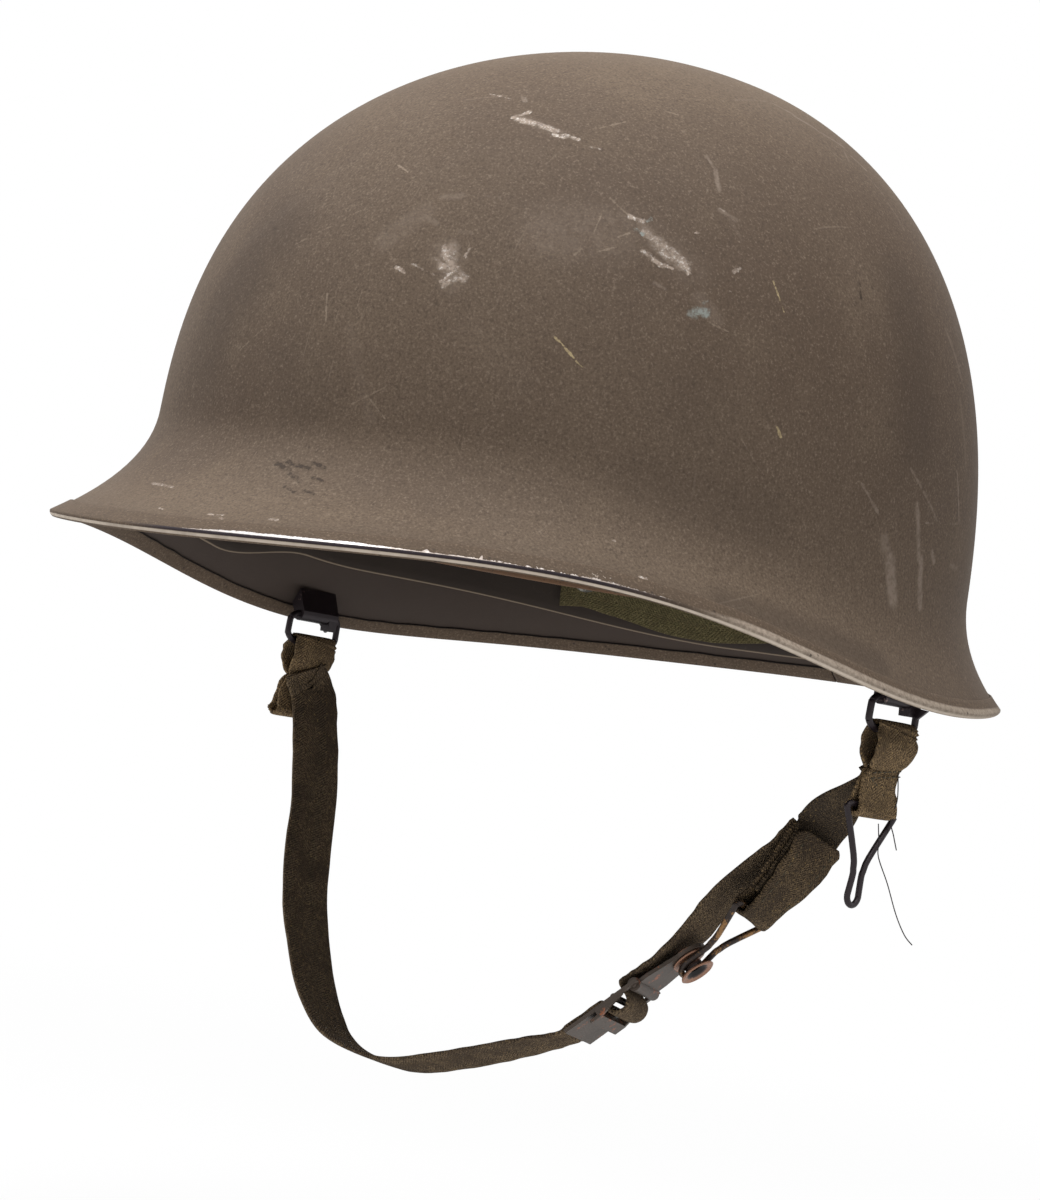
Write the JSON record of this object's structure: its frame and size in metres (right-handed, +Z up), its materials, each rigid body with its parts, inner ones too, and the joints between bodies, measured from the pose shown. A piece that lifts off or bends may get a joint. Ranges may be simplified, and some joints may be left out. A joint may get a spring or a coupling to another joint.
{
  "type": "steel helmet with liner and chin strap",
  "caption": "Flared steel helmet shell with a crimped rim, a lift-out inner liner with its head suspension, and a hinged web chin strap closed by a wire clip on a stud.",
  "frame": {"origin": "middle of the head opening, level with the rim at the sides", "axes": "+Z up towards the crown, the brim faces -Y, the wearer's left is +X"},
  "size_m": [0.241, 0.2833, 0.2867],
  "materials": {
    "olive_paint": "matte, fine grained, chipped",
    "dark_wire": "satin, worn",
    "liner_paint": "matte",
    "plated_steel": "dull",
    "suspension_web": "woven",
    "strap_web": "woven, worn",
    "leather": "dull",
    "brassy_wire": "worn, brassy",
    "worn_brown_metal": "worn",
    "grey_hardware": "satin, worn"
  },
  "bodies": {
    "shell": {"steel_shell": "olive_paint", "rim_strip": "olive_paint", "hinge_lug_left": "dark_wire", "hinge_lug_right": "dark_wire"},
    "liner": {"liner_shell": "liner_paint", "liner_rivets": "plated_steel", "a_washers": "plated_steel", "cradle_arms": "suspension_web", "crown_lace": "suspension_web", "head_band": "suspension_web", "sweatband": "leather", "sweatband_clips": "plated_steel", "sweatband_buckle": "plated_steel", "nape_web": "suspension_web", "nape_studs": "plated_steel"},
    "bale_left": {"bale_left": "dark_wire"},
    "bale_right": {"bale_right": "dark_wire"},
    "anchor_left": {"anchor_web_left": "strap_web"},
    "anchor_right": {"anchor_web_right": "strap_web"},
    "spare_clip": {"spare_clip": "dark_wire"},
    "strap_left": {"strap_left": "strap_web", "clip_sleeve": "strap_web", "lower_clip": "brassy_wire"},
    "strap_right": {"strap_right": "strap_web", "slide_buckle": "grey_hardware", "stud_plate": "grey_hardware", "strap_stud": "worn_brown_metal"}
  },
  "joints": [
    {"name": "liner_lift", "type": "slide", "parent": "shell", "child": "liner", "axis": [0, 0, -1], "range_m": [0, 0.012]},
    {"name": "bale_left_hinge", "type": "hinge", "parent": "shell", "child": "bale_left", "pos_m": [0.11007, 0.01676, -0.00113], "axis": [0, 1, 0], "range_deg": [-40, 40]},
    {"name": "bale_right_hinge", "type": "hinge", "parent": "shell", "child": "bale_right", "pos_m": [-0.11007, 0.01676, -0.00113], "axis": [0, 1, 0], "range_deg": [-40, 40]},
    {"name": "anchor_left_swing", "type": "hinge", "parent": "bale_left", "child": "anchor_left", "pos_m": [0.11007, 0.01676, -0.00953], "axis": [0, 1, 0], "range_deg": [-40, 40]},
    {"name": "anchor_right_swing", "type": "hinge", "parent": "bale_right", "child": "anchor_right", "pos_m": [-0.11007, 0.01676, -0.00953], "axis": [0, 1, 0], "range_deg": [-40, 40]},
    {"name": "spare_clip_swing", "type": "hinge", "parent": "anchor_left", "child": "spare_clip", "pos_m": [0.11007, 0.01328, -0.03003], "axis": [0, 1, 0], "range_deg": [-70, 40]},
    {"name": "strap_left_swing", "type": "hinge", "parent": "anchor_left", "child": "strap_left", "pos_m": [0.10767, 0.01481, -0.02103], "axis": [1, 0, 0], "range_deg": [-60, 50]},
    {"name": "strap_right_swing", "type": "hinge", "parent": "anchor_right", "child": "strap_right", "pos_m": [-0.10767, 0.01481, -0.02103], "axis": [1, 0, 0], "range_deg": [-60, 50]}
  ],
  "couplings": [
    {"joint": "bale_right_hinge", "follows": "bale_left_hinge", "ratio": 1},
    {"joint": "anchor_left_swing", "follows": "bale_left_hinge", "ratio": -1},
    {"joint": "anchor_right_swing", "follows": "bale_left_hinge", "ratio": -1},
    {"joint": "strap_right_swing", "follows": "strap_left_swing", "ratio": 1}
  ]
}
